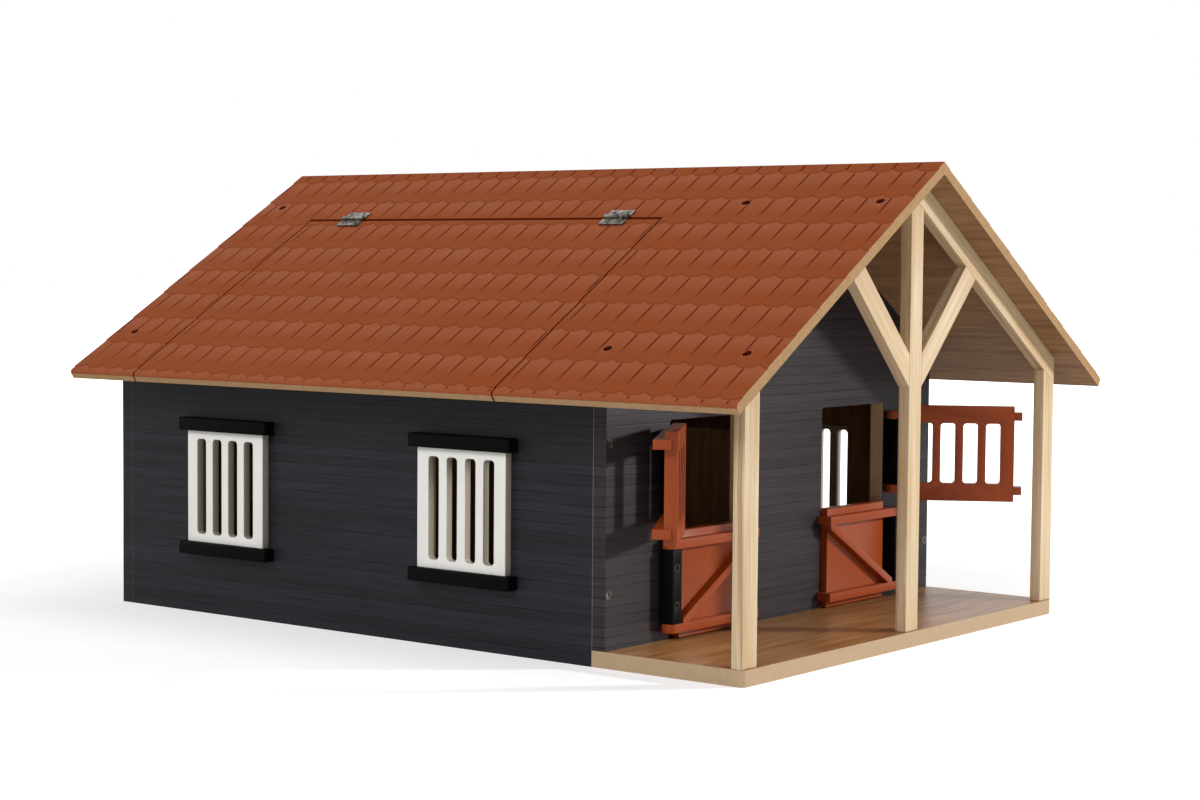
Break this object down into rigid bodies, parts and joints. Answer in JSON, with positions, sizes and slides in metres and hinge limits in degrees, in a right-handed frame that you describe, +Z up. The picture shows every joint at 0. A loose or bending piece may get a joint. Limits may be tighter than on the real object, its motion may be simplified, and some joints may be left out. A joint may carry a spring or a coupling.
{
  "type": "toy barn with opening doors",
  "caption": "Toy horse barn with an open porch on timber posts, split stable doors that swing, grilled windows and a tiled gable roof with a lift-up hatch",
  "frame": {"origin": "centre of the footprint of the bounding box, on the ground", "axes": "+X to the right as seen from the porch, +Y along the ridge from the porch to the rear wall, +Z up"},
  "size_m": [0.4018, 0.505, 0.275],
  "materials": {
    "base_board": "bare fibreboard, smooth",
    "wall_board": "fibreboard with dark grey plank foil",
    "roof_board": "fibreboard with pressed red-brown tile courses",
    "porch_timber": "planed pale pine",
    "grille_plastic": "off-white moulded plastic",
    "trim_plastic": "black moulded bar",
    "door_plastic": "semi-gloss red-brown moulded plastic",
    "block_plastic": "black moulded block",
    "hinge_steel": "zinc-plated steel",
    "screw_steel": "zinc-plated steel"
  },
  "bodies": {
    "barn": {"base_plate": "base_board", "front_wall": "wall_board", "rear_wall": "wall_board", "left_side_wall": "wall_board", "right_side_wall": "wall_board", "stall_partition": "wall_board", "left_roof_panel": "roof_board", "right_roof_panel": "roof_board", "left_front_grille": "grille_plastic", "left_rear_grille": "grille_plastic", "right_front_grille": "grille_plastic", "right_rear_grille": "grille_plastic", "left_front_lintel": "trim_plastic", "left_rear_lintel": "trim_plastic", "right_front_lintel": "trim_plastic", "right_rear_lintel": "trim_plastic", "left_front_sill": "trim_plastic", "left_rear_sill": "trim_plastic", "right_front_sill": "trim_plastic", "right_rear_sill": "trim_plastic", "left_post": "porch_timber", "middle_post": "porch_timber", "right_post": "porch_timber", "left_rafter": "porch_timber", "right_rafter": "porch_timber", "left_brace": "porch_timber", "right_brace": "porch_timber", "left_lower_block": "block_plastic", "left_upper_block": "block_plastic", "right_lower_block": "block_plastic", "right_upper_block": "block_plastic", "left_lower_pins": "hinge_steel", "left_upper_pins": "hinge_steel", "right_lower_pins": "hinge_steel", "right_upper_pins": "hinge_steel", "block_screws": "screw_steel", "front_wall_screws": "screw_steel", "rear_wall_screws": "screw_steel", "roof_screws": "screw_steel", "base_screws": "screw_steel", "front_hinge_fixed_leaf": "hinge_steel", "rear_hinge_fixed_leaf": "hinge_steel", "hatch_hinge_pins": "hinge_steel", "hatch_fixed_screws": "screw_steel"},
    "hatch": {"roof_hatch": "roof_board", "front_hinge_moving_leaf": "hinge_steel", "rear_hinge_moving_leaf": "hinge_steel", "hatch_moving_screws": "screw_steel"},
    "left_lower_door": {"left_lower_leaf": "door_plastic"},
    "left_upper_door": {"left_upper_leaf": "door_plastic"},
    "right_lower_door": {"right_lower_leaf": "door_plastic"},
    "right_upper_door": {"right_upper_leaf": "door_plastic"}
  },
  "joints": [
    {"name": "hatch_lift", "type": "hinge", "parent": "barn", "child": "hatch", "pos_m": [-0.05093, 0.0505, 0.24458], "axis": [0, 1, 0], "range_deg": [0, 175]},
    {"name": "left_lower_swing", "type": "hinge", "parent": "barn", "child": "left_lower_door", "pos_m": [-0.118, -0.152, 0.03955], "axis": [0, 0, -1], "range_deg": [0, 175]},
    {"name": "left_upper_swing", "type": "hinge", "parent": "barn", "child": "left_upper_door", "pos_m": [-0.118, -0.152, 0.10025], "axis": [0, 0, -1], "range_deg": [-147.5, 27.5]},
    {"name": "right_lower_swing", "type": "hinge", "parent": "barn", "child": "right_lower_door", "pos_m": [0.118, -0.152, 0.03955], "axis": [0, 0, 1], "range_deg": [0, 175]},
    {"name": "right_upper_swing", "type": "hinge", "parent": "barn", "child": "right_upper_door", "pos_m": [0.118, -0.152, 0.10025], "axis": [0, 0, 1], "range_deg": [-121, 54]}
  ]
}
